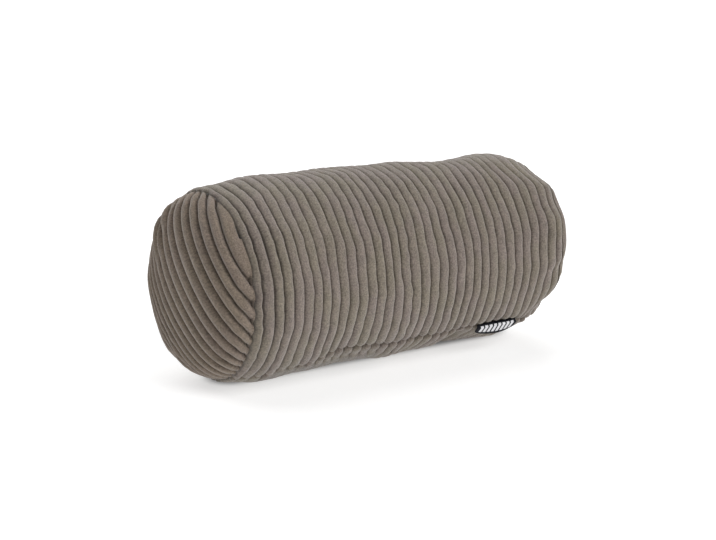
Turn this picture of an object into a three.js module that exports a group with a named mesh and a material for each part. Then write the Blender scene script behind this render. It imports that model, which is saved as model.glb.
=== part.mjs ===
// Neck roll cushion in wide-wale corduroy: a filled tube, two crowned end panels and a folded label.
// Millimetres, +Z up. The roll lies along X on the plane z = 0, and its middle is at x = 0, y = 0.
import * as THREE from 'three';

// Driving dimensions of the filled tube
const BODY_RADIUS = 92;
const AXIS_HEIGHT = 90.6;
const PIECE_GAP = 0.3;

// Wales: the raised ribs of the cloth, and the narrow gaps between them
const WALE_PITCH = 9.47;
const WALE_DEPTH = 3.0;
const WALE_SHARPNESS = 3.2;
const FIRST_GAP_X = -139;
const LAST_GAP = 33;
const EDGE_GAP_X = -148.4;
const BODY_ROWS_PER_WALE = [0, 0.22, 0.5, 0.78];
const PANEL_ROWS_PER_WALE = [0, 0.3, 0.7];

// Ends of the tube. seamX is the panel seam at the front of the roll; the seam's plane leans from there.
// From startX on, the tube narrows in width, flattens in height, and its middle drifts back and up.
const ENDS = {
  left: {
    side: -1,
    seamX: -154.4,
    leanBack: -10.5,
    leanUp: -0.2,
    leanFromX: -93.4,
    startX: -76.5,
    narrow: 10.0,
    narrowBend: 3.5,
    flatten: 2.5,
    flattenBend: 1.7,
    driftBack: -6.0,
    lift: 1.4,
    crown: 30.3,
    crownBack: 25.2,
    crownUp: -11.7,
    crownFlatness: 4.4,
    crownShoulder: 1.8,
    waleTurn: 49.5,
    waleStart: 93.3,
    waleBow: 0.0013,
  },
  right: {
    side: 1,
    seamX: 175.5,
    leanBack: -6.0,
    leanUp: 9.8,
    leanFromX: 64.7,
    startX: 122.1,
    narrow: 7.6,
    narrowBend: 7.0,
    flatten: 22.5,
    flattenBend: 2.1,
    driftBack: -2.1,
    lift: 8.2,
    crown: 26.0,
    crownBack: 0,
    crownUp: 0,
    crownFlatness: 3.2,
    crownShoulder: 1.5,
    waleTurn: 72,
    waleStart: 90,
    waleBow: 0.0006,
  },
};
const SEAM_DEPTH = 3.0;
const PANEL_COLUMNS = 14;
const PANEL_EDGE_STEP = 0.6;
const RELIEF_FADE_HEIGHT = 4;
const APEX_REACH = 0.4;

// Soft dents and bulges of the filling. turn is the angle in degrees above the front: 90 is the top, 180
// the back. rise is how far the cover stands out, which fades within reachX along the roll and reachTurn
// round it.
const BULGES = [
  { x: 101, turn: 105, rise: -9, reachX: 44, reachTurn: 17 },
  { x: -112, turn: 105, rise: 2.6, reachX: 22, reachTurn: 30 },
  { x: 160, turn: 88, rise: 1.6, reachX: 20, reachTurn: 22 },
  { x: 176, turn: 43, rise: 3, reachX: 16, reachTurn: 14 },
  { x: 176, turn: 18, rise: 2.4, reachX: 16, reachTurn: 14 },
  { x: 176, turn: -30, rise: 2.6, reachX: 14, reachTurn: 9 },
  { x: 168, turn: -44, rise: -2, reachX: 12, reachTurn: 7 },
  { x: 156, turn: -52, rise: 3, reachX: 10, reachTurn: 7 },
  { x: -154, turn: -95, rise: -2.4, reachX: 14, reachTurn: 24 },
  { x: -130, turn: -68, rise: 3, reachX: 30, reachTurn: 22 },
  { x: -48, turn: -68, rise: -1.6, reachX: 20, reachTurn: 16 },
  { x: 2, turn: -67, rise: 1.6, reachX: 14, reachTurn: 18 },
  { x: 69, turn: -66, rise: -2.4, reachX: 14, reachTurn: 18 },
  { x: 76, turn: -60, rise: -5, reachX: 9, reachTurn: 9 },
  { x: 98, turn: -66, rise: -2.4, reachX: 14, reachTurn: 16 },
  { x: 0, turn: 246, rise: 2.4, reachX: 110, reachTurn: 24 },
  { x: -30, turn: 185, rise: -3, reachX: 60, reachTurn: 34 },
  { x: 150, turn: 200, rise: -2.5, reachX: 26, reachTurn: 30 },
];

// Where the cloth has slipped along the roll, so that the wales bow. The columns are those of the bulges.
const SLIDES = [
  { x: -50, turn: 75, slide: 3, reachX: 34, reachTurn: 22 },
  { x: 62, turn: 74, slide: 2.4, reachX: 24, reachTurn: 18 },
  { x: 136, turn: 74, slide: -6.5, reachX: 22, reachTurn: 13 },
  { x: -58, turn: -30, slide: -2.4, reachX: 20, reachTurn: 16 },
  { x: 0, turn: 14, slide: -2.5, reachX: 26, reachTurn: 15 },
  { x: 14, turn: -30, slide: 1.7, reachX: 32, reachTurn: 18 },
  { x: 84, turn: -18, slide: -1.4, reachX: 18, reachTurn: 20 },
  { x: -95, turn: 5, slide: 1, reachX: 22, reachTurn: 18 },
  { x: -142, turn: -10, slide: 1.8, reachX: 12, reachTurn: 40 },
];
const HELD_LEFT = 8;
const HELD_RIGHT = 20;

// Long seam of the tube, on the lower front
const LONG_SEAM = [
  { x: -172, turn: -64 },
  { x: -130, turn: -58 },
  { x: -109, turn: -54 },
  { x: -92, turn: -51 },
  { x: -82, turn: -47 },
  { x: -72, turn: -43 },
  { x: -57, turn: -40.5 },
  { x: -36, turn: -42 },
  { x: -8, turn: -44 },
  { x: 25, turn: -43.5 },
  { x: 65, turn: -43 },
  { x: 85, turn: -42 },
  { x: 111, turn: -41 },
  { x: 134, turn: -41 },
  { x: 150, turn: -48 },
  { x: 165, turn: -54 },
  { x: 183, turn: -57 },
];
const LONG_SEAM_TURN = -40;
const LONG_SEAM_DEPTH = 2.8;
const LONG_SEAM_SIDE = 2.2;
const SEAM_SHOULDER = 8;
const ROUND_COLUMNS = 29;
const SLIDE_REACH = 130;

// Folded label, caught in the long seam. Its lower edge hangs in a curve, shortest at the ends.
const LABEL = { fromX: 89, toX: 137.5, thickness: 1.2, root: 1.85, rise: 1.4, drop: 12.4 };
const LABEL_STEPS = 10;
const LABEL_ARC_STEPS = 7;
const LABEL_END_SHARE = 0.5;
const LABEL_LEAN = 0.15;

const CLOTH_COLOUR = 0x776b62;
const LABEL_COLOUR = 0x1d2029;

const radians = (degrees) => (degrees * Math.PI) / 180;
const clamp01 = (value) => Math.min(Math.max(value, 0), 1);

// How far along an end's drawn-in stretch x lies: 0 where it starts, 1 at the seam
function alongEnd(x, end) {
  return Math.max((x - end.startX) / (end.seamX - end.startX), 0);
}

// Half width, half height and middle of the filled tube at x, before the wales and the flat spot
function sectionAt(x) {
  const section = { halfWidth: BODY_RADIUS, halfHeight: BODY_RADIUS, y: 0, z: 0 };
  for (const end of Object.values(ENDS)) {
    const along = alongEnd(x, end);
    const flattened = along ** end.flattenBend;
    section.halfWidth -= end.narrow * along ** end.narrowBend;
    section.halfHeight -= end.flatten * flattened;
    section.y += end.driftBack * flattened;
    section.z += end.lift * flattened;
  }
  return section;
}

// 1 at a row's place on the roll, fading within its reaches
function fade(row, x, turn) {
  const alongX = (x - row.x) / row.reachX;
  const around = (THREE.MathUtils.euclideanModulo(turn - row.turn + 180, 360) - 180) / row.reachTurn;
  return Math.exp(-alongX * alongX - around * around);
}

function bulgeAt(x, turn) {
  return BULGES.reduce((sum, bulge) => sum + bulge.rise * fade(bulge, x, turn), 0);
}

// How far the cloth has slipped along the roll. It holds still at the end seams.
function slideAt(x, turn) {
  const held = clamp01((x - ENDS.left.seamX) / HELD_LEFT) * clamp01((ENDS.right.seamX - x) / HELD_RIGHT);
  return held * SLIDES.reduce((sum, row) => sum + row.slide * fade(row, x, turn), 0);
}

// Share of an end's lean that a ring at frontX takes
function leanShare(frontX, end) {
  return clamp01((frontX - end.leanFromX) / (end.seamX - end.leanFromX)) ** 2;
}

function leanedX(frontX, y, z) {
  let x = frontX;
  for (const end of Object.values(ENDS)) {
    const lean = end.leanBack * (1 + y / BODY_RADIUS) + (end.leanUp * z) / BODY_RADIUS;
    x += leanShare(frontX, end) * lean;
  }
  return x;
}

// Point of the tube's skin, sunk by depth. z is measured from the roll's axis here.
function skinPoint(frontX, turn, depth) {
  const angle = radians(turn);
  let x = frontX;
  let y = 0;
  let z = 0;
  for (let pass = 0; pass < 4; pass += 1) {
    const section = sectionAt(x);
    const sunk = depth - bulgeAt(x, turn);
    y = section.y - (section.halfWidth - sunk) * Math.cos(angle);
    z = Math.max(section.z + (section.halfHeight - sunk) * Math.sin(angle), -AXIS_HEIGHT);
    x = leanedX(frontX, y, z);
  }
  return new THREE.Vector3(x, y, z);
}

// Depth of the cloth's surface below the wale's crown, share 0 and 1 being the gaps on its two sides
function waleRelief(share) {
  return WALE_DEPTH * Math.abs(2 * share - 1) ** WALE_SHARPNESS;
}

// Smooth height of a table's curve at x, easing from row to row
function easedRow(table, x, column) {
  const last = table.length - 1;
  if (x <= table[0].x) return table[0][column];
  if (x >= table[last].x) return table[last][column];
  const next = table.findIndex((row) => row.x > x);
  const low = table[next - 1];
  const high = table[next];
  const share = (x - low.x) / (high.x - low.x);
  return low[column] + (high[column] - low[column]) * share * share * (3 - 2 * share);
}

// A closed mesh from shared points and the polygons between them
class Shell {
  constructor() {
    this.points = [];
    this.triangles = [];
  }

  add(point) {
    this.points.push(point);
    return this.points.length - 1;
  }

  triangle(a, b, c) {
    if (a !== b && b !== c && c !== a) this.triangles.push([a, b, c]);
  }

  quad(a, b, c, d) {
    this.triangle(a, b, c);
    this.triangle(a, c, d);
  }

  volume() {
    let sum = 0;
    for (const [a, b, c] of this.triangles) {
      const normal = new THREE.Vector3().crossVectors(this.points[b], this.points[c]);
      sum += this.points[a].dot(normal);
    }
    return sum;
  }

  geometry() {
    if (this.volume() < 0) this.triangles = this.triangles.map(([a, b, c]) => [a, c, b]);
    const geometry = new THREE.BufferGeometry();
    const places = this.points.flatMap((point) => point.toArray());
    geometry.setAttribute('position', new THREE.Float32BufferAttribute(places, 3));
    geometry.setIndex(this.triangles.flat());
    geometry.computeVertexNormals();
    return geometry;
  }
}

// Rings of the tube: each gap, and the rows that round the wale after it
function bodyRows() {
  const gaps = [ENDS.left.seamX, EDGE_GAP_X];
  for (let gap = 0; gap <= LAST_GAP; gap += 1) gaps.push(FIRST_GAP_X + gap * WALE_PITCH);
  gaps.push(ENDS.right.seamX);
  const rows = [];
  for (let wale = 0; wale + 1 < gaps.length; wale += 1) {
    for (const share of BODY_ROWS_PER_WALE) {
      rows.push({ frontX: gaps[wale] + share * (gaps[wale + 1] - gaps[wale]), depth: waleRelief(share) });
    }
  }
  rows.push({ frontX: ENDS.right.seamX, depth: SEAM_DEPTH });
  return rows;
}

// Columns round the tube, as angles from the long seam, with the depth that the seam adds
function bodyColumns() {
  const columns = [
    { offset: -LONG_SEAM_SIDE, depth: 0 },
    { offset: 0, depth: LONG_SEAM_DEPTH },
    { offset: LONG_SEAM_SIDE, depth: 0 },
  ];
  const sweep = 360 - 2 * SEAM_SHOULDER;
  for (let step = 0; step <= ROUND_COLUMNS; step += 1) {
    columns.push({ offset: SEAM_SHOULDER + (sweep * step) / ROUND_COLUMNS, depth: 0 });
  }
  return columns;
}

// Angle of a column at frontX: columns near the long seam follow it, those opposite stay where they are
function columnTurn(offset, frontX) {
  const away = Math.min(Math.abs(offset), Math.abs(360 - offset));
  const slide = easedRow(LONG_SEAM, frontX, 'turn') - LONG_SEAM_TURN;
  return LONG_SEAM_TURN + offset + slide * clamp01(1 - away / SLIDE_REACH);
}

function turnWithin(turn) {
  return turn > 270 ? turn - 360 : turn;
}

function bodyGeometry() {
  const shell = new Shell();
  const columns = bodyColumns();
  const rings = bodyRows().map((row) =>
    columns.map((column) => {
      const turn = turnWithin(columnTurn(column.offset, row.frontX));
      const frontX = row.frontX + slideAt(row.frontX, turn);
      return shell.add(skinPoint(frontX, turn, Math.max(row.depth, column.depth)));
    }),
  );
  const count = columns.length;
  for (let row = 0; row + 1 < rings.length; row += 1) {
    for (let column = 0; column < count; column += 1) {
      const next = (column + 1) % count;
      shell.quad(rings[row][column], rings[row + 1][column], rings[row + 1][next], rings[row][next]);
    }
  }
  const ends = [
    { ring: rings[0], frontX: ENDS.left.seamX, turned: false },
    { ring: rings[rings.length - 1], frontX: ENDS.right.seamX, turned: true },
  ];
  for (const { ring, frontX, turned } of ends) {
    const middle = shell.add(new THREE.Vector3(leanedX(frontX, 0, 0), 0, 0));
    for (let column = 0; column < count; column += 1) {
      const pair = [ring[column], ring[(column + 1) % count]];
      if (turned) pair.reverse();
      shell.triangle(middle, pair[0], pair[1]);
    }
  }
  return shell.geometry();
}

// Height of the crown above the seam's plane, as a share, at reach 0 in the middle and 1 at the seam
function crownShare(reach, end) {
  return Math.max(1 - reach ** end.crownFlatness, 0) ** (1 / end.crownShoulder);
}

// Lengths over the crown from its middle to a reach, so that wales keep their pitch on the curve
function crownArc(end) {
  const seam = sectionAt(end.seamX);
  const radius = (seam.halfWidth + seam.halfHeight) / 2 - SEAM_DEPTH;
  const steps = 200;
  const arc = [{ reach: 0, length: 0 }];
  for (let step = 1; step <= steps; step += 1) {
    const reach = Math.sin((Math.PI / 2) * (step / steps));
    const before = arc[step - 1];
    const rise = end.crown * (crownShare(before.reach, end) - crownShare(reach, end));
    const length = before.length + Math.hypot(radius * (reach - before.reach), rise);
    arc.push({ reach, length });
  }
  return arc;
}

function reachAt(arc, length) {
  const next = arc.findIndex((row) => row.length > length);
  if (next < 1) return next === 0 ? 0 : 1;
  const low = arc[next - 1];
  const high = arc[next];
  return low.reach + ((high.reach - low.reach) * (length - low.length)) / (high.length - low.length);
}

// Share of the crown's shift that a point keeps: none at the seam, and evened out over the crown's top
function apexShift(reach) {
  return 1 - (reach > APEX_REACH ? reach : (reach ** 2 / APEX_REACH + APEX_REACH) / 2);
}

// Point of an end panel over its flat cloth: across and along are measured from the crown's middle
function crownPoint(end, arc, across, along) {
  const tilt = radians(end.waleTurn);
  const flatY = -across * Math.sin(tilt) + along * Math.cos(tilt);
  const flatZ = across * Math.cos(tilt) + along * Math.sin(tilt);
  const turn = THREE.MathUtils.radToDeg(Math.atan2(flatZ, -flatY));
  const reach = reachAt(arc, Math.hypot(across, along));
  const rim = skinPoint(end.seamX, turn < -90 ? turn + 360 : turn, SEAM_DEPTH);
  const seam = sectionAt(end.seamX);
  const y = seam.y + (rim.y - seam.y) * reach + end.crownBack * apexShift(reach);
  const z = seam.z + (rim.z - seam.z) * reach + end.crownUp * apexShift(reach);
  const height = end.crown * crownShare(reach, end);
  const x = leanedX(end.seamX, y, z) + end.side * (PIECE_GAP + height);
  return { place: new THREE.Vector3(x, y, z), height };
}

// The same point, sunk by the relief of its wale along the crown's own slope
function panelPoint(end, arc, across, along, depth) {
  const step = 1;
  const point = crownPoint(end, arc, across, along);
  const sunk = depth * clamp01(point.height / RELIEF_FADE_HEIGHT);
  if (sunk === 0) return point.place;
  const alongStep = crownPoint(end, arc, across, along + step).place.sub(
    crownPoint(end, arc, across, along - step).place,
  );
  const acrossStep = crownPoint(end, arc, across + step, along).place.sub(
    crownPoint(end, arc, across - step, along).place,
  );
  const inward = new THREE.Vector3().crossVectors(alongStep, acrossStep).normalize();
  if (inward.x * end.side > 0) inward.negate();
  return point.place.addScaledVector(inward, sunk);
}

// Half length of the wale line that crosses the panel's middle line at start, and bows as the panel's do
function waleReach(start, bow, radius) {
  const linear = 1 - 2 * bow * start;
  const root = Math.sqrt(linear * linear - 4 * bow * bow * (start * start - radius * radius));
  return Math.sqrt(Math.max((root - linear) / (2 * bow * bow), 0));
}

// Rows across the panel, from its upper front edge to its lower back edge.
// The outermost wale runs to the seam.
function panelRows(end, radius) {
  const rows = [];
  const top = radius - PANEL_EDGE_STEP;
  for (let gap = -1; end.waleStart - gap * WALE_PITCH > -radius; gap += 1) {
    for (const share of PANEL_ROWS_PER_WALE) {
      const start = end.waleStart - (gap + share) * WALE_PITCH;
      const nearEdge = Math.abs(start) > top - PANEL_EDGE_STEP;
      const outermost = start > end.waleStart - WALE_PITCH / 2;
      if (!nearEdge) rows.push({ start, depth: outermost ? 0 : waleRelief(share) });
    }
  }
  return [{ start: top, depth: 0 }, ...rows, { start: -top, depth: 0 }];
}

function panelGeometry(end) {
  const shell = new Shell();
  const arc = crownArc(end);
  const radius = arc[arc.length - 1].length;
  const shares = Array.from({ length: PANEL_COLUMNS + 1 }, (_, step) => (2 * step) / PANEL_COLUMNS - 1);
  const rows = panelRows(end, radius);
  const grid = rows.map(({ start, depth }) => {
    const reach = waleReach(start, end.waleBow, radius);
    return shares.map((share) => {
      const along = share * reach;
      const across = start - end.waleBow * along * along;
      return shell.add(panelPoint(end, arc, across, along, depth));
    });
  });
  const rimArc = (row, corners) => {
    const reach = waleReach(row.start, end.waleBow, radius);
    const corner = Math.atan2(reach, row.start - end.waleBow * reach * reach);
    const middle = row.start > 0 ? 0 : Math.PI;
    return shares.map((share, column) => {
      if (column === 0) return corners[0];
      if (column === PANEL_COLUMNS) return corners[PANEL_COLUMNS];
      const angle = middle + share * (corner - middle);
      return shell.add(crownPoint(end, arc, radius * Math.cos(angle), radius * Math.sin(angle)).place);
    });
  };
  const upper = rimArc(rows[0], grid[0]);
  const lower = rimArc(rows[rows.length - 1], grid[grid.length - 1]);
  const all = [upper, ...grid, lower];
  for (let row = 0; row + 1 < all.length; row += 1) {
    for (let column = 0; column < PANEL_COLUMNS; column += 1) {
      shell.quad(all[row][column], all[row][column + 1], all[row + 1][column + 1], all[row + 1][column]);
    }
  }
  const rightSide = grid.map((row) => row[PANEL_COLUMNS]);
  const leftSide = grid.map((row) => row[0]).reverse();
  const rim = [...upper.slice(1, -1), ...rightSide, ...lower.slice(1, -1).reverse(), ...leftSide];
  const seam = sectionAt(end.seamX);
  const backX = leanedX(end.seamX, seam.y, seam.z) + end.side * PIECE_GAP;
  const middle = shell.add(new THREE.Vector3(backX, seam.y, seam.z));
  rim.forEach((point, index) => shell.triangle(middle, rim[(index + 1) % rim.length], point));
  return shell.geometry();
}

// Centre line of the label's section: out of the seam, over the edge and down along the tube
function labelLine(x) {
  const seamTurn = easedRow(LONG_SEAM, x, 'turn');
  const along = (x - LABEL.fromX) / (LABEL.toX - LABEL.fromX);
  const bow = Math.max(1 - (2 * along - 1) ** 2, 0) ** 0.6;
  const hang = LABEL_END_SHARE + LABEL_LEAN * along + (1 - LABEL_END_SHARE) * bow;
  const line = [{ turn: seamTurn, height: -LABEL.root }];
  for (let step = 0; step <= LABEL_ARC_STEPS; step += 1) {
    const share = step / LABEL_ARC_STEPS;
    const turn = seamTurn - THREE.MathUtils.radToDeg((share * hang * LABEL.drop) / BODY_RADIUS);
    line.push({ turn, height: LABEL.rise });
  }
  return line.map(({ turn, height }) => skinPoint(x, turn, -height));
}

function labelGeometry() {
  const shell = new Shell();
  const loops = [];
  for (let step = 0; step <= LABEL_STEPS; step += 1) {
    const x = LABEL.fromX + ((LABEL.toX - LABEL.fromX) * step) / LABEL_STEPS;
    const line = labelLine(x);
    const sides = [1, -1].map((side) =>
      line.map((point, index) => {
        const before = line[Math.max(index - 1, 0)];
        const after = line[Math.min(index + 1, line.length - 1)];
        const normal = new THREE.Vector3(0, -(after.z - before.z), after.y - before.y).normalize();
        return shell.add(point.clone().addScaledVector(normal, (side * LABEL.thickness) / 2));
      }),
    );
    loops.push([...sides[0], ...sides[1].reverse()]);
  }
  const count = loops[0].length;
  for (let step = 0; step + 1 < loops.length; step += 1) {
    for (let corner = 0; corner < count; corner += 1) {
      const next = (corner + 1) % count;
      shell.quad(loops[step][corner], loops[step][next], loops[step + 1][next], loops[step + 1][corner]);
    }
  }
  const half = count / 2;
  for (const [loop, turned] of [[loops[0], true], [loops[loops.length - 1], false]]) {
    for (let corner = 0; corner + 1 < half; corner += 1) {
      const quad = [loop[corner], loop[corner + 1], loop[count - 2 - corner], loop[count - 1 - corner]];
      if (turned) quad.reverse();
      shell.quad(...quad);
    }
  }
  return shell.geometry();
}

function cloth(colour) {
  return new THREE.MeshStandardMaterial({ color: colour, roughness: 0.95, metalness: 0, flatShading: true });
}

function piece(name, geometry, material) {
  const mesh = new THREE.Mesh(geometry, material);
  mesh.name = name;
  mesh.position.z = AXIS_HEIGHT;
  return mesh;
}

const corduroy = cloth(CLOTH_COLOUR);
const roll = new THREE.Group();
roll.add(piece('body', bodyGeometry(), corduroy));
roll.add(piece('end_panel_left', panelGeometry(ENDS.left), corduroy));
roll.add(piece('end_panel_right', panelGeometry(ENDS.right), corduroy));
roll.add(piece('woven_label', labelGeometry(), cloth(LABEL_COLOUR)));

export default roll;
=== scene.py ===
"""A filled neck roll in wide-wale corduroy, lying on a pale floor.

Lengths are millimetres until a mesh is made. The roll lies along X, and z is measured from its axis.
A turn is an angle in degrees round the roll: 0 at the front, 90 on top, 180 at the back.
"""

import math

import bpy
import numpy as np
from mathutils import Matrix, Vector


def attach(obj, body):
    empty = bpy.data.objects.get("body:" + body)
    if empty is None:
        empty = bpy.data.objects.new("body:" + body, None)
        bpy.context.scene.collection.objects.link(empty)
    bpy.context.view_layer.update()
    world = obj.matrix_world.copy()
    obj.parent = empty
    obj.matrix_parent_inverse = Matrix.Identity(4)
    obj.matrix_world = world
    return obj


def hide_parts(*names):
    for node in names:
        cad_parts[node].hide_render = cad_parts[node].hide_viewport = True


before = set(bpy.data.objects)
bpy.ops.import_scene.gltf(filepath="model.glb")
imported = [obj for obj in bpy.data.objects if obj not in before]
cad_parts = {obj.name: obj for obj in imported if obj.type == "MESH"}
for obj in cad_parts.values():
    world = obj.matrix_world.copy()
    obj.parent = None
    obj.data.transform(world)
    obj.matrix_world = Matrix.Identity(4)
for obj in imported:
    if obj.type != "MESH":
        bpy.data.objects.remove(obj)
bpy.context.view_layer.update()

MM = 0.001

# Driving dimensions of the filled tube, as in the part's own model
BODY_RADIUS = 92.0
AXIS_HEIGHT = 90.6
PIECE_GAP = 0.3
WALE_PITCH = 9.47
FIRST_GAP_X = -139.0
LAST_GAP = 33
EDGE_GAP_X = -148.4
SEAM_DEPTH = 3.0

# The tube's ends: where the panel's seam lies and how it leans, how the tube narrows, flattens and drifts
# towards it, the panel's crown, and its wales. rim_follow says how soon the rim's puckers fade towards the
# panel's middle.
LEFT = {
    "side": -1, "seam_x": -154.4, "lean_back": -10.5, "lean_up": -0.2, "lean_from_x": -93.4, "start_x": -76.5,
    "narrow": 10.0, "narrow_bend": 3.5, "flatten": 2.5, "flatten_bend": 1.7, "drift_back": -6.0, "lift": 1.4,
    "crown": 30.3, "crown_back": 25.2, "crown_up": -11.7, "crown_flatness": 4.4, "crown_shoulder": 1.8,
    "wale_turn": 49.5, "wale_start": 93.3, "wale_bow": 0.0013, "rim_follow": 0,
}
RIGHT = {
    "side": 1, "seam_x": 175.5, "lean_back": -6.0, "lean_up": 9.8, "lean_from_x": 64.7, "start_x": 122.1,
    "narrow": 7.6, "narrow_bend": 7.0, "flatten": 22.5, "flatten_bend": 2.1, "drift_back": -2.1, "lift": 8.2,
    "crown": 26.0, "crown_back": 0.0, "crown_up": 0.0, "crown_flatness": 3.2, "crown_shoulder": 1.5,
    "wale_turn": 72.0, "wale_start": 90.0, "wale_bow": 0.0006, "rim_follow": 5,
}
ENDS = (LEFT, RIGHT)
SKIN_PASSES = 4

# The crown's top is evened out up to this reach. Its ridges and flats fade near the seam, and the push of the
# wales on the seam fades towards the middle.
APEX_REACH = 0.4
CROWN_STEPS = 401
CROWN_FLATS_BEND = 8
SEAM_PUSH_BEND = 12

# Soft dents and bulges of the filling: x, turn, rise, reach along x, reach in turn
BULGES = (
    (101, 105, -9.0, 44, 17),
    (-112, 105, 2.6, 22, 30),
    (160, 88, 1.6, 20, 22),
    (156, -52, 3.0, 10, 7),
    (-130, -68, 3.0, 30, 22),
    (-48, -68, -1.6, 20, 16),
    (2, -67, 1.6, 14, 18),
    (-154, -95, -2.4, 14, 24),
    (69, -66, -2.4, 14, 18),
    (75, -59, -8.0, 10, 11),
    (98, -66, -2.4, 14, 16),
    (0, 246, 2.4, 110, 24),
    (-30, 185, -3.0, 60, 34),
    (150, 200, -2.5, 26, 30),
)

# Puckers at the right seam: turn, rise
PUCKERS = (
    (-66, 0), (-54, 3.0), (-50, 1.4), (-45, -1.8), (-39, -1.4), (-33, 2.4), (-23, 2.8),
    (-13, -2.6), (-7, -0.8), (7, -1.2), (23, 2.2), (36, 0), (50, 4.4), (60, 0.5),
    (68, -1.2), (76, -0.7), (80, 0.8), (85, -1.2), (92, 0.6), (100, 0), (130, -1.5),
    (160, 1.5), (200, -2.0), (235, 1.5), (270, 0),
)
PUCKER_REACH = 20.0

# Ridges and flats of the left crown: turn, rise
CROWN_FLATS = (
    (-84, -1.0), (-77, 0), (100, 0), (112, -1.0), (118, 5.0), (124, -3.0), (132, 4.0),
    (141, -1.8), (150, -1.2), (165, -1.1), (176, 1.4), (190, -0.4), (205, -2.4), (224, -2.4),
    (243, 0.6), (253, -1.8), (262, -0.6), (268, 1.2), (283, 0),
)

# The left panel's wales fan out at the front seam: start, shift of the whole wale, draw of its front end
FAN = (
    (-40, 0, 0), (27, 1, -3), (36.5, 1, -3), (46, 2, -2), (55.5, 2, -1),
    (65, 1, 2), (74.5, 0, 5), (84, 0, 5.5), (97, 0, 3),
)
FAN_BEND = 5.0
FAN_PASSES = 30

# Where the cloth has slipped along the roll: x, turn, slide, reach along x, reach in turn
SLIDES = (
    (-50, 75, 3.0, 34, 22),
    (62, 74, 2.4, 24, 18),
    (136, 74, -6.5, 22, 13),
    (-58, -30, -2.4, 20, 16),
    (0, 14, -2.5, 26, 15),
    (14, -30, 1.7, 32, 18),
    (84, -18, -1.4, 18, 20),
    (-95, 5, 1.0, 22, 18),
    (-142, -10, 1.8, 12, 40),
)
HELD_LEFT = 8.0
HELD_RIGHT = 20.0

# Long seam of the tube: x, turn
LONG_SEAM = (
    (-172, -64), (-130, -58), (-109, -54), (-92, -51), (-82, -47), (-72, -43),
    (-57, -40.5), (-36, -42), (-8, -44), (25, -43.5), (65, -43), (85, -42),
    (111, -41), (134, -41), (150, -48), (165, -54), (183, -57),
)
SEAM_REST_TURN = -40.0
SEAM_SLIDE_REACH = 130.0

# The seam is pulled in less at its left stretch, from this x on over this length
SHALLOW_SEAM_X = -66.0
SHALLOW_SEAM_FADE = 14.0
SHALLOW_SEAM_SHARE = 0.75

# Wales in fine relief: across runs from -1 at one gap to 1 at the next
WALE_DEPTH = 2.9
GAP_SHARE = 0.04
WALE_FLATNESS = 2.3
WALE_ROUNDNESS = 0.55
WALE_ROWS = (-1.0, -0.94, -0.88, -0.76, -0.56, -0.28, 0.0, 0.28, 0.56, 0.76, 0.88, 0.94)
WAVE_ORDERS = (2, 3, 5, 8, 13, 21, 34)
WAVE_SIZES = (1.0, 1.0, 1.0, 1.2, 1.0, 0.6, 0.6)
LOOSE_ORDERS = 2
WOBBLE = 0.42
LUMP = 0.7
LUMP_SHARE = 0.6
LUMP_FADE = 20.0
GAP_UNEVEN = 0.35
NARROWEST_GAP = 0.2
WIDEST_GAP = 3
FIRST_WALES_DEEPER = 1.1
FIRST_WALES_TURN = 30.0
FIRST_WALES_REACH = 45.0

# Wales are worn flatter on top: x, turn, share, reach along x, reach in turn
FLATTENED = (
    (128, 82, 0.5, 46, 20),
    (10, 104, 0.6, 130, 20),
)
MOST_FLATTENED = 0.75

# Wales are pressed flat underneath, and in front up to a soft crease that runs between two places
PRESSED_SHARE = 0.9
PRESSED_TURN = 16.0
PRESSED_FADE = 4.0
# Painted shade: the pressed underside's colour is darkened by this share, for the shade near the floor
PRESSED_PAINTED_SHADE = 0.85
CREASE_FROM_X = -140.0
CREASE_FROM_FADE = 20.0
CREASE_TO_X = -2.0
CREASE_TO_FADE = 12.0
CREASE_TURN = 40.0
CREASE_INSET = 1.0
CREASE_WIDTH = 2.2
CREASE_DEPTH = 1.3

# Where a wale is sewn off, its end is rounded down and the gap beside it opens
KNUCKLE_LENGTH = 6.0
KNUCKLE_DEPTH = 2.0
KNUCKLE_REACH = 3.0
HEM_DEPTH = SEAM_DEPTH + 0.6
LONG_SEAM_DEPTH = 3.4
LONG_SEAM_GAP_SPREAD = 0.34
LONG_SEAM_GAP_DEEPER = 0.7
END_SEAM_PULL = 0.6
END_SEAM_REACH = 14.0

# Relief of the end panels, which fades out where the crown is low
PANEL_WALE_DEPTH = 3.5
# Place across the wales, from -1 at the lower back to 1 at the upper front, and the depth's factor
PANEL_DEEPER = (
    (-1.0, 0.8), (-0.1, 0.95), (0.5, 1.35), (1.0, 1.4),
)
PANEL_LOW_HEIGHT = 2.0
PANEL_LOW_SHARE = 0.25
PANEL_GAP_SHARE = 0.08
PANEL_GAP_SPREAD = 0.2
PANEL_GAP_DEEPER = 0.2
PANEL_EDGE = 1.0
NORMAL_STEP = 0.5

# Columns of points: offsets in degrees from the long seam, then the count of plain ones and of a panel's
SEAM_COLUMNS = (-10.0, -7.6, -5.8, -4.4, -3.3, -2.4, -1.7, -1.1, -0.6, -0.25, 0.0,
                0.25, 0.6, 1.1, 1.7, 2.4, 3.3, 4.4, 5.8, 7.6, 10.0)
PLAIN_COLUMNS = 206
PANEL_COLUMNS = 96

# The panels' places in the pile's pattern, well away from the tube's
PANEL_CLOTH_X = 500.0
PANEL_CLOTH_WALE = 60.0

# Folded label. It sinks into the seam by root, stands out by rise and hangs down by drop, less at its ends.
LABEL = {
    "from_x": 89.0, "to_x": 137.5, "root": 1.85, "rise": 1.4, "drop": 12.4, "ends": 0.5, "lean": 0.15,
    "belly": 2.0, "layer": 0.5, "slit": 0.2, "root_length": 1.6, "slit_share": 0.99, "hang_bend": 0.6,
    "belly_bend": 1.5, "steps": 60, "layers": 24, "fold_steps": 7,
}
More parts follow.
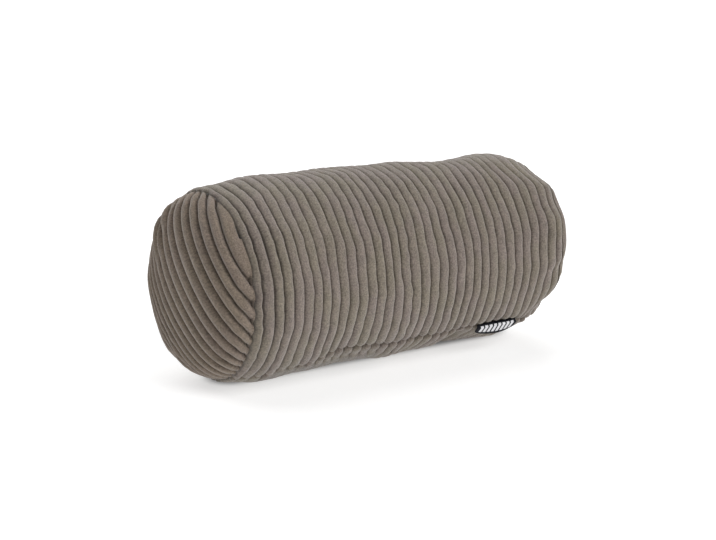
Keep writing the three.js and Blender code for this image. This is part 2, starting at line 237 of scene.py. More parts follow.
# Pale bars on the label's front: they start and end this far from its ends and lie between two heights
BARS = {"margin": 4.0, "pitch": 5.2, "share": 0.66, "from_drop": 0.3, "to_drop": 9.4, "front": 0.15}

random = np.random.default_rng(7)


def row_at(table, place, period=None):
    """Value of a two-column table at a place, straight between its rows."""
    places, values = zip(*table)
    return np.interp(place, places, values, period=period)


# Form of the filled tube
def along_end(x, end):
    """How far along an end's drawn-in stretch x lies: 0 where it starts, 1 at the seam."""
    return np.maximum((x - end["start_x"]) / (end["seam_x"] - end["start_x"]), 0)


def section_at(x):
    """Half width, half height and middle of the tube at x."""
    half_width = np.full_like(x, BODY_RADIUS)
    half_height = np.full_like(x, BODY_RADIUS)
    middle_y = np.zeros_like(x)
    middle_z = np.zeros_like(x)
    for end in ENDS:
        along = along_end(x, end)
        flattened = along ** end["flatten_bend"]
        half_width -= end["narrow"] * along ** end["narrow_bend"]
        half_height -= end["flatten"] * flattened
        middle_y += end["drift_back"] * flattened
        middle_z += end["lift"] * flattened
    return half_width, half_height, middle_y, middle_z


def bulge_at(x, turn):
    """How far the filling pushes the cloth out, or lets it sink in."""
    total = np.zeros(np.broadcast(x, turn).shape)
    for bulge_x, bulge_turn, rise, reach_x, reach_turn in BULGES:
        away = (turn - bulge_turn + 180) % 360 - 180
        total += rise * np.exp(-((x - bulge_x) / reach_x) ** 2 - (away / reach_turn) ** 2)
    pucker = row_at(PUCKERS, turn, period=360)
    return total + pucker * np.exp(-((x - RIGHT["seam_x"]) / PUCKER_REACH) ** 2)


def leaned_x(front_x, y, z):
    """X of a ring's point: rings near an end lean, as the seam's plane does."""
    x = front_x
    for end in ENDS:
        share = np.clip((front_x - end["lean_from_x"]) / (end["seam_x"] - end["lean_from_x"]), 0, 1) ** 2
        x = x + share * (end["lean_back"] * (1 + y / BODY_RADIUS) + end["lean_up"] * z / BODY_RADIUS)
    return x


def skin_points(front_x, turn, depth, bulged=1.0):
    """Points of the tube's skin, sunk by depth, with its bulges or part of them."""
    angle = np.radians(turn)
    x = front_x + 0 * angle
    for _ in range(SKIN_PASSES):
        half_width, half_height, middle_y, middle_z = section_at(x)
        sunk = depth - bulged * bulge_at(x, turn)
        y = middle_y - (half_width - sunk) * np.cos(angle)
        z = np.maximum(middle_z + (half_height - sunk) * np.sin(angle), -AXIS_HEIGHT)
        x = leaned_x(front_x, y, z)
    return np.stack([x, y, z], -1)


# Relief of the cloth
def wale_relief(across, gap_share, depth):
    """Depth below a wale's crown: a round hump that drops steeply into a narrow gap on each side."""
    edge = np.clip(np.abs(across) / (1 - gap_share), 0, 1)
    return depth * (1 - (1 - edge ** WALE_FLATNESS) ** WALE_ROUNDNESS)


def knuckle(distance):
    """1 at a sewn edge, falling to 0 a knuckle's length away, as a quarter round."""
    inside = np.clip(distance / KNUCKLE_LENGTH, 0, 1)
    return 1 - np.sqrt(1 - (1 - inside) ** 2)


def beside_edge(distance):
    """1 at a sewn edge, fading smoothly within a few millimetres."""
    return np.exp(-(distance / KNUCKLE_REACH) ** 2)


def pressed(x, turn):
    """1 where the wales are pressed flat, 0 where they stand up."""
    from_below = np.abs((turn + 90 + 180) % 360 - 180)
    reach = PRESSED_TURN + (CREASE_TURN - PRESSED_TURN) * in_crease(x) * (turn < 0) * (turn > -90)
    share = np.clip((reach - from_below) / PRESSED_FADE, 0, 1)
    return share * share * (3 - 2 * share)


def flattened_at(x, turn):
    """Share of a wale's height that is worn or stretched away."""
    total = np.zeros(np.broadcast(x, turn).shape)
    for flat_x, flat_turn, share, reach_x, reach_turn in FLATTENED:
        away = (turn - flat_turn + 180) % 360 - 180
        total += share * np.exp(-((x - flat_x) / reach_x) ** 2 - (away / reach_turn) ** 2)
    return np.minimum(total, MOST_FLATTENED)


def in_crease(x):
    """1 along the crease that the front's lower edge is pressed to, 0 beside it."""
    started = np.clip((x - CREASE_FROM_X) / CREASE_FROM_FADE, 0, 1)
    return started * np.clip((CREASE_TO_X - x) / CREASE_TO_FADE, 0, 1)


def slide_at(x, turn):
    """How far the cloth has slipped along the roll; it holds still at the end seams."""
    total = np.zeros(np.broadcast(x, turn).shape)
    for slide_x, slide_turn, slide, reach_x, reach_turn in SLIDES:
        away = (turn - slide_turn + 180) % 360 - 180
        total += slide * np.exp(-((x - slide_x) / reach_x) ** 2 - (away / reach_turn) ** 2)
    left = np.clip((x - LEFT["seam_x"]) / HELD_LEFT, 0, 1)
    return total * (left * np.clip((RIGHT["seam_x"] - x) / HELD_RIGHT, 0, 1))


def waves(count, size):
    """Random waves round the roll, one row for each gap; the long ones are close to the next row's."""
    table = random.normal(size=(count, len(WAVE_ORDERS), 2)) * size * np.array(WAVE_SIZES)[None, :, None]
    loose = table[:, -LOOSE_ORDERS:] / 2
    for _ in range(2):
        padded = np.concatenate([table[:1], table, table[-1:]])
        table = (padded[:-2] + 2 * padded[1:-1] + padded[2:]) / 4
    table[:, -LOOSE_ORDERS:] = loose
    return table


def wave_at(table, row, turn):
    """Height of a row's waves at a turn."""
    angle = np.radians(turn)
    total = np.zeros(np.broadcast(row, turn).shape)
    for column, order in enumerate(WAVE_ORDERS):
        total += table[row, column, 0] * np.cos(order * angle) + table[row, column, 1] * np.sin(order * angle)
    return total


def rim_wale(end, turn):
    """Count of the end panel's gaps at the rim, as a smooth number: whole at a gap."""
    tilt = math.radians(end["wale_turn"])
    flat_y = -BODY_RADIUS * np.cos(np.radians(turn))
    flat_z = BODY_RADIUS * np.sin(np.radians(turn))
    across = -flat_y * math.sin(tilt) + flat_z * math.cos(tilt)
    along = flat_y * math.cos(tilt) + flat_z * math.sin(tilt)
    return (end["wale_start"] - across - end["wale_bow"] * along ** 2) / WALE_PITCH


def seam_pull(end, turn):
    """How far the panel's wales push the seam along the roll, and its gaps draw it back."""
    return end["side"] * END_SEAM_PULL * np.cos(2 * np.pi * rim_wale(end, turn))


# Meshes
def make_piece(name, points, faces, material, attributes):
    """A piece of the cover, whose points are measured from the roll's axis."""
    mesh = bpy.data.meshes.new(name)
    raised = points + np.array([0.0, 0.0, AXIS_HEIGHT])
    mesh.from_pydata((raised * MM).tolist(), [], faces)
    for attribute_name, values in attributes.items():
        kind, key = ("FLOAT_VECTOR", "vector") if values.ndim == 2 else ("FLOAT", "value")
        attribute = mesh.attributes.new(attribute_name, kind, "POINT")
        attribute.data.foreach_set(key, values.astype(np.float32).ravel())
    mesh.validate()
    mesh.shade_smooth()
    mesh.materials.append(material)
    piece = bpy.data.objects.new(name, mesh)
    bpy.context.scene.collection.objects.link(piece)
    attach(piece, "root")
    return piece


def grid_faces(rows, columns, closed):
    """Quads of a grid of points, closed round if asked."""
    index = np.arange(rows * columns).reshape(rows, columns)
    low = index[:-1]
    high = index[1:]
    if closed:
        near, far = low, np.roll(low, -1, 1)
        near_up, far_up = high, np.roll(high, -1, 1)
    else:
        near, far = low[:, :-1], low[:, 1:]
        near_up, far_up = high[:, :-1], high[:, 1:]
    return np.stack([near, near_up, far_up, far], -1).reshape(-1, 4)


def body_columns():
    """Offsets in degrees from the long seam, close together beside it."""
    first, last = SEAM_COLUMNS[-1], 360 + SEAM_COLUMNS[0]
    plain = np.linspace(first, last, PLAIN_COLUMNS + 2)[1:-1]
    return np.concatenate([SEAM_COLUMNS, plain])


def body_gaps():
    """X of the gaps between the tube's wales, from seam to seam."""
    gaps = [LEFT["seam_x"], EDGE_GAP_X]
    gaps += [FIRST_GAP_X + gap * WALE_PITCH for gap in range(LAST_GAP + 1)]
    gaps.append(RIGHT["seam_x"])
    return np.array(gaps)


def make_body(material):
    """The tube: one ring of points for each row of a wale, closed by a flat fan at both ends."""
    offsets = body_columns()
    around = np.minimum(np.abs(offsets), np.abs(360 - offsets))
    gaps = body_gaps()
    wales = len(gaps) - 1
    wale = np.repeat(np.arange(wales), len(WALE_ROWS))
    across = np.tile(WALE_ROWS, wales)
    wale = np.append(wale, wales - 1)
    across = np.append(across, 1.0)
    share = (across + 1) / 2

    wobble = waves(wales + 1, WOBBLE)
    wobble[0] = wobble[-1] = 0
    lumps = waves(wales + 1, LUMP)
    uneven = waves(wales + 1, GAP_UNEVEN)
    straight = gaps[wale] + share * (gaps[wale + 1] - gaps[wale])
    slide = row_at(LONG_SEAM, straight) - SEAM_REST_TURN
    follow = np.clip(1 - around / SEAM_SLIDE_REACH, 0, 1)[None, :]
    turn = SEAM_REST_TURN + offsets[None, :] + slide[:, None] * follow
    turn = np.where(turn > 270, turn - 360, turn)
    share = share[:, None]
    wale = wale[:, None]
    shift = (1 - share) * wave_at(wobble, wale, turn) + share * wave_at(wobble, wale + 1, turn)
    front_x = straight[:, None] + shift + slide_at(straight[:, None], turn)
    for end in ENDS:
        from_end = np.abs(straight - end["seam_x"]) / END_SEAM_REACH
        front_x = front_x + seam_pull(end, turn) * np.clip(1 - from_end, 0, 1)[:, None] ** 2

    from_seam = around * math.radians(1) * BODY_RADIUS
    end_round = knuckle(from_seam)[None, :]
    beside = beside_edge(from_seam)[None, :]
    open_gap = np.where(share < 0.5, wave_at(uneven, wale, turn), wave_at(uneven, wale + 1, turn))
    gap_share = GAP_SHARE * np.clip(1 + open_gap, NARROWEST_GAP, WIDEST_GAP) + LONG_SEAM_GAP_SPREAD * beside
    relief = wale_relief(across[:, None], gap_share, WALE_DEPTH)
    relief = relief * (1 - flattened_at(straight[:, None], turn))
    near_left = np.clip(1 - (straight - LEFT["seam_x"]) / FIRST_WALES_REACH, 0, 1)[:, None]
    towards = np.maximum(np.cos(np.radians(turn - FIRST_WALES_TURN)), 0)
    relief = relief * (1 + FIRST_WALES_DEEPER * near_left * towards)
    crease = in_crease(straight)[:, None]
    shallow = np.clip((SHALLOW_SEAM_X - straight) / SHALLOW_SEAM_FADE, 0, 1)[:, None]
    pull = 1 - SHALLOW_SEAM_SHARE * shallow
    depth = relief * (1 + LONG_SEAM_GAP_DEEPER * beside * pull) + LONG_SEAM_DEPTH * end_round * pull
    depth = depth * (1 - PRESSED_SHARE * pressed(straight[:, None], turn))
    from_crease = (turn + 90 - CREASE_TURN + CREASE_INSET) / CREASE_WIDTH
    depth = depth + CREASE_DEPTH * crease * np.exp(-from_crease ** 2)
    lump = (1 - share) * wave_at(lumps, wale, turn) + share * wave_at(lumps, wale + 1, turn)
    from_left = np.clip((straight - LEFT["seam_x"]) / LUMP_FADE, 0, 1)
    calm = from_left * np.clip((RIGHT["seam_x"] - straight) / LUMP_FADE, 0, 1)
    depth = depth + (lump + LUMP) * calm[:, None] * LUMP_SHARE
    depth[0] = depth[-1] = HEM_DEPTH
    points = skin_points(front_x, turn, depth)

    rows, columns = front_x.shape
    faces = grid_faces(rows, columns, True).tolist()
    middles = []
    for row, end, turned in ((0, LEFT, False), (rows - 1, RIGHT, True)):
        ring = np.arange(columns) + row * columns
        middle = rows * columns + len(middles)
        middles.append(points[row].mean(0))
        for near, far in zip(ring, np.roll(ring, -1)):
            faces.append([int(far), int(near), middle] if turned else [int(near), int(far), middle])
    cloth = np.stack([front_x, np.radians(turn) * BODY_RADIUS, np.broadcast_to(wale, turn.shape)], -1)
    # crest is 1 on a wale's crown and lower in its gaps and on the pressed underside; the material turns it
    # into painted shade
    crest = (1 - relief / WALE_DEPTH) * (1 - PRESSED_PAINTED_SHADE * pressed(straight[:, None], turn))
    cloth = np.concatenate([cloth.reshape(-1, 3), np.zeros((2, 3))])
    crest = np.append(crest.ravel(), [0.0, 0.0])
    all_points = np.concatenate([points.reshape(-1, 3), middles])
    piece = make_piece("cover_tube", all_points, faces, material, {"cloth": cloth, "crest": crest})
    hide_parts("body")


# End panels
def crown_share(reach, end):
    """Height of the crown above the seam's plane: 1 in the middle, 0 at the seam."""
    return np.maximum(1 - reach ** end["crown_flatness"], 0) ** (1 / end["crown_shoulder"])


def crown_arc(end):
    """Reach and length over the crown from its middle, so that wales keep their pitch on the curve."""
    half_width, half_height, _, _ = section_at(np.array([end["seam_x"]]))
    radius = (half_width[0] + half_height[0]) / 2 - SEAM_DEPTH
    reach = np.sin(np.linspace(0, np.pi / 2, CROWN_STEPS))
    height = end["crown"] * crown_share(reach, end)
    steps = np.hypot(radius * np.diff(reach), np.diff(height))
    return reach, np.concatenate([[0], np.cumsum(steps)])


def apex_shift(reach):
    """Share of the crown's shift that a point keeps: none at the seam, and evened out at the top."""
    even = (reach ** 2 / APEX_REACH + APEX_REACH) / 2
    return 1 - np.where(reach > APEX_REACH, reach, even)


def crown_points(end, arc, across, along):
    """Points of an end panel over its flat cloth, whose across and along start at the crown's middle."""
    tilt = math.radians(end["wale_turn"])
    flat_y = -across * math.sin(tilt) + along * math.cos(tilt)
    flat_z = across * math.cos(tilt) + along * math.sin(tilt)
    turn = np.degrees(np.arctan2(flat_z, -flat_y))
    turn = np.where(turn < -90, turn + 360, turn)
    reach = np.interp(np.hypot(across, along), arc[1], arc[0])
    rim = skin_points(np.full_like(turn, end["seam_x"]), turn, SEAM_DEPTH, reach ** end["rim_follow"])
    _, _, middle_y, middle_z = section_at(np.array([end["seam_x"]]))
    y = middle_y[0] + (rim[..., 1] - middle_y[0]) * reach + end["crown_back"] * apex_shift(reach)
    z = middle_z[0] + (rim[..., 2] - middle_z[0]) * reach + end["crown_up"] * apex_shift(reach)
    height = end["crown"] * crown_share(reach, end)
    x = leaned_x(np.full_like(y, end["seam_x"]), y, z) + end["side"] * (PIECE_GAP + height)
    x += seam_pull(end, turn) * reach ** SEAM_PUSH_BEND
    return np.stack([x, y, z], -1), height, reach, turn


def crown_flats(end, reach, turn):
    """Rise of the left crown's ridges and flats; the right crown has none."""
    if end["side"] > 0:
        return 0
    rise = row_at(CROWN_FLATS, turn, period=360)
    return rise * reach ** 2 * (1 - reach ** CROWN_FLATS_BEND)


def wale_lines(end, starts, radius):
    """Across and along of the panel's rows of points, each bowed and fanned, from rim to rim."""
    draw = np.zeros_like(starts)
    if end["side"] < 0:
        fan_start, fan_shift, fan_draw = zip(*FAN)
        draw = np.interp(starts, fan_start, fan_draw)
        starts = starts + np.interp(starts, fan_start, fan_shift)
    front = back = np.sqrt(radius ** 2 - starts ** 2)
    for _ in range(FAN_PASSES):
        front = np.sqrt(np.maximum(radius ** 2 - (starts - end["wale_bow"] * front ** 2 + draw) ** 2, 1))
        back = np.sqrt(np.maximum(radius ** 2 - (starts - end["wale_bow"] * back ** 2) ** 2, 1))
    share = np.sin(np.linspace(-np.pi / 2, np.pi / 2, PANEL_COLUMNS + 1))[None, :]
    along = np.where(share < 0, front[:, None], back[:, None]) * share
    fan = draw[:, None] * np.maximum(-share, 0) ** FAN_BEND
    return starts[:, None] - end["wale_bow"] * along ** 2 + fan, along


def panel_rows(end, radius):
    """Start, place on its wale, and wale of each row of points. The outermost wale is left plain."""
    starts, rises, wales = [], [], []
    count = int((end["wale_start"] + radius) / WALE_PITCH) + 1
    for wale in range(-1, count):
        for across in WALE_ROWS:
            start = end["wale_start"] - (wale + (across + 1) / 2) * WALE_PITCH
            if abs(start) < radius - PANEL_EDGE:
                outermost = start > end["wale_start"] - WALE_PITCH / 2
                starts.append(start)
                rises.append(0 if outermost else across)
                wales.append(max(wale, 0))
    return np.array(starts), np.array(rises), np.array(wales)


def crown_normals(end, arc, across, along):
    """Directions out of the crown's surface."""
    ahead = crown_points(end, arc, across, along + NORMAL_STEP)[0]
    behind = crown_points(end, arc, across, along - NORMAL_STEP)[0]
    upper = crown_points(end, arc, across + NORMAL_STEP, along)[0]
    lower = crown_points(end, arc, across - NORMAL_STEP, along)[0]
    normal = np.cross(ahead - behind, upper - lower)
    normal /= np.linalg.norm(normal, axis=-1, keepdims=True)
    return normal * np.where(normal[..., :1] * end["side"] < 0, -1, 1)


def make_panel(name, node, end, material):
    """An end panel: a grid of points from rim to rim along its wales, closed by a fan at its seam."""
    arc = crown_arc(end)
    radius = arc[1][-1]
    starts, rises, wales = panel_rows(end, radius)
    across, along = wale_lines(end, starts, radius)
    flat, height, reach, turn = crown_points(end, arc, across, along)
    from_rim = radius - np.hypot(across, along)
    beside = beside_edge(from_rim)
    deeper = row_at(PANEL_DEEPER, starts / radius)[:, None]
    gap_share = PANEL_GAP_SHARE * deeper + PANEL_GAP_SPREAD * beside
    relief = wale_relief(rises[:, None], gap_share, PANEL_WALE_DEPTH)
    across_seam = (along / radius) ** 2
    sunk = relief * deeper * (1 + PANEL_GAP_DEEPER * beside) + KNUCKLE_DEPTH * knuckle(from_rim) * across_seam
    sunk *= np.clip(height / PANEL_LOW_HEIGHT, PANEL_LOW_SHARE, 1)
    sunk -= crown_flats(end, reach, turn)
    points = flat - crown_normals(end, arc, across, along) * sunk[..., None]
    plane = leaned_x(np.full_like(across, end["seam_x"]), points[..., 1], points[..., 2])
    point_turn = np.degrees(np.arctan2(points[..., 2], -points[..., 1]))
    plane += end["side"] * PIECE_GAP + seam_pull(end, point_turn)
    if end["side"] < 0:
        points[..., 0] = np.minimum(points[..., 0], plane)
    else:
        points[..., 0] = np.maximum(points[..., 0], plane)

    rows, columns = across.shape
    faces = grid_faces(rows, columns, False)
    index = np.arange(rows * columns).reshape(rows, columns)
    rim = np.concatenate([index[0, :-1], index[:-1, -1], index[-1, :0:-1], index[:0:-1, 0]])
    middle_point = points.reshape(-1, 3)[rim].mean(0)
    middle = rows * columns
    if end["side"] > 0:
        faces = faces[:, ::-1]
    faces = faces.tolist()
    for near, far in zip(rim, np.roll(rim, -1)):
        pair = [int(near), int(far)] if end["side"] < 0 else [int(far), int(near)]
        faces.append([*pair, middle])
    wale = np.broadcast_to(wales[:, None] + PANEL_CLOTH_WALE, along.shape)
    cloth = np.stack([across + PANEL_CLOTH_X, along, wale], -1).reshape(-1, 3)
    # crest is 1 on a wale's crown and lower in its gaps; the material turns it into painted shade in the
    # panel's gaps
    crest = (1 - relief / PANEL_WALE_DEPTH).ravel()
    cloth = np.concatenate([cloth, np.zeros((1, 3))])
    crest = np.append(crest, 0.0)
    all_points = np.concatenate([points.reshape(-1, 3), middle_point[None]])
    piece = make_piece(name, all_points, faces, material, {"cloth": cloth, "crest": crest})
    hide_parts(node)


# Label
def label_outline():
    """Section of the folded strip: how far down and how far out each point lies."""
    half = LABEL["layer"] + LABEL["slit"] / 2
    inner = LABEL["slit"] / 2
    down = np.linspace(0, 1, LABEL["layers"] + 1)
    outline = []
    for share in down:
        outline.append((share * LABEL["drop"], half))
    for angle in np.linspace(90, -90, LABEL["fold_steps"])[1:-1]:
        a = math.radians(angle)
        outline.append((LABEL["drop"] + half * math.cos(a), half * math.sin(a)))
    for share in down[::-1]:
        outline.append((share * LABEL["drop"], -half))
    for share in down:
        outline.append((share * LABEL["drop"] * LABEL["slit_share"], -inner))
    for share in down[::-1]:
        outline.append((share * LABEL["drop"] * LABEL["slit_share"], inner))
    return np.array(outline)


def make_label(material):
    """The folded label, which hangs from the long seam and bellies out a little."""
    x = np.linspace(LABEL["from_x"], LABEL["to_x"], LABEL["steps"] + 1)
    seam_turn = row_at(LONG_SEAM, x)
    outline = label_outline()
    drop, out = outline[:, 0], outline[:, 1]
    rooted = np.clip(drop / LABEL["root_length"], 0, 1)
    height = -LABEL["root"] + (LABEL["rise"] + LABEL["root"]) * np.sqrt(1 - (1 - rooted) ** 2)
    along = (x - x[0]) / (x[-1] - x[0])
    middle = (1 - (2 * along - 1) ** 2) ** LABEL["hang_bend"]
    hang = LABEL["ends"] + LABEL["lean"] * along + (1 - LABEL["ends"]) * middle
    turn = seam_turn[:, None] - np.degrees(drop / BODY_RADIUS)[None, :] * hang[:, None]
    lower = (drop / LABEL["drop"]) ** LABEL["belly_bend"]
    belly = LABEL["belly"] * np.sin(np.pi * along)[:, None] * lower[None, :]
    points = skin_points(np.broadcast_to(x[:, None], turn.shape), turn, -(height + out)[None, :] - belly)
    rows, columns = turn.shape
    faces = grid_faces(rows, columns, True).tolist()
    faces.append(list(range(columns)))
    faces.append([(rows - 1) * columns + i for i in range(columns)][::-1])
    cloth = np.stack(np.broadcast_arrays(x[:, None], drop[None, :], out[None, :]), -1).reshape(-1, 3)
    piece = make_piece("folded_label", points.reshape(-1, 3), faces, material, {"cloth": cloth})
    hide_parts("woven_label")


# Materials
class Nodes:
    """A short way to add nodes to a material and link them."""

    def __init__(self, name):
        self.material = bpy.data.materials.new(name)
        self.material.use_nodes = True
        self.tree = self.material.node_tree
        self.shader = self.tree.nodes["Principled BSDF"]

    def add(self, kind, **settings):
        node = self.tree.nodes.new(kind)
        for key, value in settings.items():
            setattr(node, key, value)
        return node

    def link(self, source, target):
        self.tree.links.new(source, target)

    def math(self, operation, first, second=None):
        node = self.add("ShaderNodeMath", operation=operation)
        for socket, value in zip(node.inputs, (first, second)):
            if value is None:
                continue
            if isinstance(value, (int, float)):
                socket.default_value = value
            else:
                self.link(value, socket)
        return node.outputs[0]

    def shade(self, settings):
        for key, value in settings.items():
            self.shader.inputs[key].default_value = value

    def attribute(self, name):
        return self.add("ShaderNodeAttribute", attribute_name=name)

    def scaled(self, vector, scale):
        node = self.add("ShaderNodeVectorMath", operation="MULTIPLY")
        self.link(vector, node.inputs[0])
        node.inputs[1].default_value = scale
        return node.outputs[0]

    def noise(self, vector, scale, detail, roughness):
        node = self.add("ShaderNodeTexNoise")
        self.link(vector, node.inputs["Vector"])
        node.inputs["Scale"].default_value = scale
        node.inputs["Detail"].default_value = detail
        node.inputs["Roughness"].default_value = roughness
        return node.outputs["Fac"]

    def spread(self, value, low, high, new_low, new_high):
        node = self.add("ShaderNodeMapRange", interpolation_type="SMOOTHSTEP")
        self.link(value, node.inputs["Value"])
        for key, number in (("From Min", low), ("From Max", high), ("To Min", new_low), ("To Max", new_high)):
            node.inputs[key].default_value = number
        return node.outputs["Result"]

    def mix(self, factor, first, second, blend="MIX"):
        node = self.add("ShaderNodeMix", data_type="RGBA", blend_type=blend)
        for socket, value in ((node.inputs[0], factor), (node.inputs[6], first), (node.inputs[7], second)):
            if isinstance(value, (int, float)):
                socket.default_value = value
            elif isinstance(value, tuple):
                socket.default_value = (*value, 1)
            else:
                self.link(value, socket)
        return node.outputs[2]

    def bump(self, height, strength, distance):
        node = self.add("ShaderNodeBump")
        node.inputs["Strength"].default_value = strength
        node.inputs["Distance"].default_value = distance
        self.link(height, node.inputs["Height"])
        self.link(node.outputs[0], self.shader.inputs["Normal"])


# Noise of the pile: scale along the roll, round it and from wale to wale, then scale, detail and roughness
PILE = {
    "patches": ((0.05, 0.025, 0.4), 1.0, 3.0, 0.55),
    "strands": ((0.3, 0.09, 1.7), 1.0, 2.0, 0.5),
    "streaks": ((0.9, 0.3, 1.0), 1.0, 2.0, 0.5),
    "speckle": ((1.0, 0.8, 1.0), 0.8, 3.0, 0.7),
}
TUFTS = {"scale": 2.6, "detail": 2.0, "roughness": 0.6}

# How noise becomes a tone: from its low and high value to the tone's
PATCH_RANGE = (0.35, 0.65, 0.0, 1.0)
STRAND_RANGE = (0.3, 0.7, -0.07, 0.07)
STREAK_RANGE = (0.3, 0.7, -0.06, 0.06)
SPECKLE_RANGE = (0.3, 0.7, 0.72, 1.28)
# Painted shade: crest darkens the gaps between wales and the pressed underside
GAP_PAINTED_SHADE_RANGE = (0.0, 0.5, 0.7, 1.0)
THREAD_RANGE = (0.3, 0.7, 0.0, 1.0)
PILE_BUMP = {"speckle": 0.9, "tufts": 0.4, "strength": 0.7, "distance": 0.0009}
PILE_SHADER = {"Roughness": 0.95, "Specular IOR Level": 0.12, "Sheen Weight": 0.45, "Sheen Roughness": 0.5,
               "Sheen Tint": (0.86, 0.86, 0.86, 1)}

# Two tones of each cloth: olive and mauve for the pile, darker and paler for the label
TUBE_TONES = ((0.209, 0.180, 0.141), (0.217, 0.180, 0.156))
# The left end panel's copy of the pile is browner: partly its pile lies another way, partly painted shade for
# the weaker light on that side
END_TONES = ((0.219, 0.175, 0.134), (0.221, 0.175, 0.141))
LABEL_GROUND = ((0.003, 0.0035, 0.006), (0.008, 0.009, 0.015))
LABEL_PALE = ((0.62, 0.62, 0.64), (0.85, 0.85, 0.87))
LABEL_SHADER = {"Roughness": 0.7, "Specular IOR Level": 0.15}
THREAD_STRETCH = (0.8, 5.0, 1.0)
THREADS = {"scale": 1.2, "detail": 2.0, "roughness": 0.6}
THREAD_BUMP = {"strength": 0.4, "distance": 0.0003}


def corduroy(name, olive, mauve):
    """Short pile on the wales: two tones that drift along them, fine tufts, and painted shade in the gaps and
    on the pressed underside.
    """
    nodes = Nodes(name)
    cloth = nodes.attribute("cloth").outputs["Vector"]
    crest = nodes.attribute("crest").outputs["Fac"]
    noises = {key: nodes.noise(nodes.scaled(cloth, stretch), *rest) for key, (stretch, *rest) in PILE.items()}
    speckle = noises["speckle"]
    tufts = nodes.noise(cloth, **TUFTS)
    colour = nodes.mix(nodes.spread(noises["patches"], *PATCH_RANGE), olive, mauve)
    tone = nodes.spread(noises["strands"], *STRAND_RANGE)
    tone = nodes.math("ADD", tone, nodes.spread(speckle, *SPECKLE_RANGE))
    tone = nodes.math("ADD", tone, nodes.spread(noises["streaks"], *STREAK_RANGE))
    # Painted shade in the gaps and on the pressed underside, through crest
    tone = nodes.math("MULTIPLY", tone, nodes.spread(crest, *GAP_PAINTED_SHADE_RANGE))
    grey = nodes.add("ShaderNodeCombineColor")
    for channel in grey.inputs:
        nodes.link(tone, channel)
    nodes.link(nodes.mix(1.0, colour, grey.outputs[0], "MULTIPLY"), nodes.shader.inputs["Base Color"])
    nodes.shade(PILE_SHADER)
    raised = nodes.math("MULTIPLY", speckle, PILE_BUMP["speckle"])
    pile = nodes.math("ADD", raised, nodes.math("MULTIPLY", tufts, PILE_BUMP["tufts"]))
    nodes.bump(pile, PILE_BUMP["strength"], PILE_BUMP["distance"])
    return nodes.material


def woven_label():
    """Dark weave with a row of plain pale bars on the front."""
    nodes = Nodes("label_weave")
    cloth = nodes.attribute("cloth").outputs["Vector"]
    split = nodes.add("ShaderNodeSeparateXYZ")
    nodes.link(cloth, split.inputs[0])
    along, down, out = split.outputs
    first = LABEL["from_x"] + BARS["margin"]
    last = LABEL["to_x"] - BARS["margin"]
    bars = nodes.math("DIVIDE", nodes.math("SUBTRACT", along, first), BARS["pitch"])
    bar = nodes.math("LESS_THAN", nodes.math("FRACT", bars), BARS["share"])
    above = nodes.math("LESS_THAN", down, BARS["to_drop"])
    band = nodes.math("MULTIPLY", nodes.math("GREATER_THAN", down, BARS["from_drop"]), above)
    before = nodes.math("LESS_THAN", along, last)
    inside = nodes.math("MULTIPLY", nodes.math("GREATER_THAN", along, first), before)
    front = nodes.math("GREATER_THAN", out, BARS["front"])
    mark = nodes.math("MULTIPLY", nodes.math("MULTIPLY", bar, band), nodes.math("MULTIPLY", inside, front))
    threads = nodes.noise(nodes.scaled(cloth, THREAD_STRETCH), **THREADS)
    ground = nodes.mix(nodes.spread(threads, *THREAD_RANGE), *LABEL_GROUND)
    pale = nodes.mix(nodes.spread(threads, *THREAD_RANGE), *LABEL_PALE)
    nodes.link(nodes.mix(mark, ground, pale), nodes.shader.inputs["Base Color"])
    nodes.shade(LABEL_SHADER)
    nodes.bump(threads, **THREAD_BUMP)
    return nodes.material


# The floor, in metres: the line where the roll touches it, and distance from that line to the floor's glow
CONTACT_HALF_LENGTH = 0.14
# Painted contact shadow: the glow is weak within these distances of the line where the roll touches the floor
CONTACT_RANGE = (0.012, 0.03, 0.1, 0.58)
FLOOR_GREYS = ((0.57, 0.57, 0.57), (0.6, 0.6, 0.6))
FLOOR_MOTTLE = {"scale": 3.0, "detail": 2.0, "roughness": 0.5}
FLOOR_SHADER = {"Roughness": 0.9, "Emission Color": (1, 1, 1, 1)}
FLOOR_HALF = 8.0


def floor_glow(nodes, place):
    """The floor's own glow, which keeps its shadows pale, fades out near the roll, and this paints a contact
    shadow there.
    """
    split = nodes.add("ShaderNodeSeparateXYZ")
    nodes.link(place, split.inputs[0])
    outward = nodes.math("SUBTRACT", nodes.math("ABSOLUTE", split.outputs[0]), CONTACT_HALF_LENGTH)
    beyond = nodes.math("MAXIMUM", outward, 0.0)
    aside = split.outputs[1]
    square = nodes.math("ADD", nodes.math("MULTIPLY", beyond, beyond), nodes.math("MULTIPLY", aside, aside))
    return nodes.spread(nodes.math("SQRT", square), *CONTACT_RANGE)


def floor_material():
    """Plain pale floor that glows a little."""
    nodes = Nodes("pale_floor")
    place = nodes.add("ShaderNodeTexCoord").outputs["Object"]
    mottle = nodes.noise(place, **FLOOR_MOTTLE)
    nodes.link(nodes.mix(mottle, *FLOOR_GREYS), nodes.shader.inputs["Base Color"])
    nodes.shade(FLOOR_SHADER)
    nodes.link(floor_glow(nodes, place), nodes.shader.inputs["Emission Strength"])
    return nodes.material


# Camera, floor and light
CAMERA = {
    "azimuth": -30.74, "elevation": 15.47, "distance": 1603.6, "look": (-2.42, 0.0, 82.23), "lens": 85.06,
    "sensor": 36,
}
WORLD_STRENGTH = 0.15

# Even light from soft sources: name, direction of the source, spread in degrees, strength
SUNS = (
    ("front", (0.7, -1.0, 0.9), 40, 2.1),
    ("top", (0.0, 0.7, 1.0), 70, 2.0),
    ("back", (-0.35, 1.0, 0.2), 60, 0.7),
)


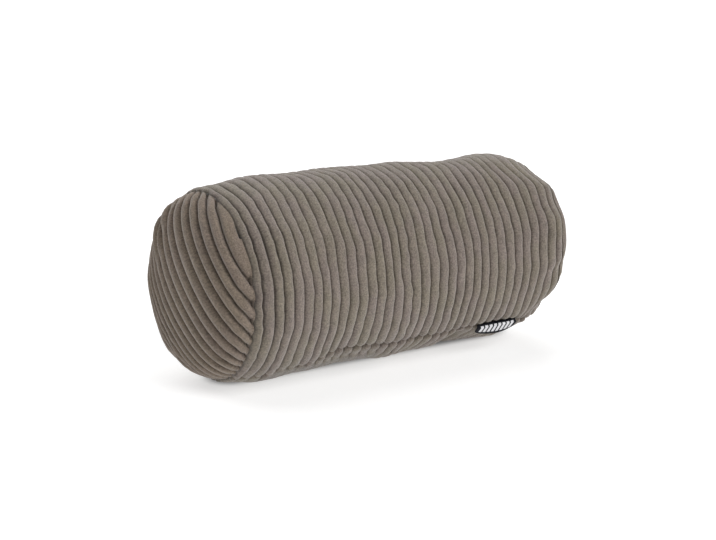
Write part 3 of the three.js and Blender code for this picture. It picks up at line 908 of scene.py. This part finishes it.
def make_camera():
    """The camera is turned round the roll by azimuth and raised by elevation."""
    azimuth = math.radians(CAMERA["azimuth"])
    elevation = math.radians(CAMERA["elevation"])
    back = Vector((math.sin(azimuth) * math.cos(elevation), -math.cos(azimuth) * math.cos(elevation),
                   math.sin(elevation)))
    right = Vector((math.cos(azimuth), math.sin(azimuth), 0))
    up = back.cross(right)
    data = bpy.data.cameras.new("camera")
    data.lens = CAMERA["lens"]
    data.sensor_width = CAMERA["sensor"]
    camera = bpy.data.objects.new("camera", data)
    turned = Matrix((right, up, back)).transposed().to_4x4()
    place = Vector(CAMERA["look"]) * MM + back * CAMERA["distance"] * MM
    camera.matrix_world = Matrix.Translation(place) @ turned
    bpy.context.scene.collection.objects.link(camera)
    bpy.context.scene.camera = camera


def make_floor():
    corners = [(x * FLOOR_HALF, y * FLOOR_HALF, 0) for x, y in ((-1, -1), (1, -1), (1, 1), (-1, 1))]
    mesh = bpy.data.meshes.new("floor")
    mesh.from_pydata(corners, [], [(0, 1, 2, 3)])
    mesh.materials.append(floor_material())
    floor = bpy.data.objects.new("floor", mesh)
    bpy.context.scene.collection.objects.link(floor)


def make_sun(name, towards, spread, strength):
    data = bpy.data.lights.new(name, "SUN")
    data.angle = math.radians(spread)
    data.energy = strength
    light = bpy.data.objects.new(name, data)
    light.rotation_euler = Vector(towards).to_track_quat("Z", "Y").to_euler()
    bpy.context.scene.collection.objects.link(light)


def make_light():
    world = bpy.data.worlds.new("soft_studio")
    world.use_nodes = True
    background = world.node_tree.nodes["Background"]
    background.inputs["Color"].default_value = (1, 1, 1, 1)
    background.inputs["Strength"].default_value = WORLD_STRENGTH
    bpy.context.scene.world = world
    for sun in SUNS:
        make_sun(*sun)
    bpy.context.scene.view_settings.view_transform = "Standard"


cover = corduroy("corduroy_pile", *TUBE_TONES)
# The left panel's browner copy of the pile, partly painted shade
end_cover = corduroy("corduroy_pile_ends", *END_TONES)
make_camera()
make_floor()
make_light()
make_body(cover)
make_panel("end_cover_left", "end_panel_left", LEFT, end_cover)
make_panel("end_cover_right", "end_panel_right", RIGHT, cover)
make_label(woven_label())
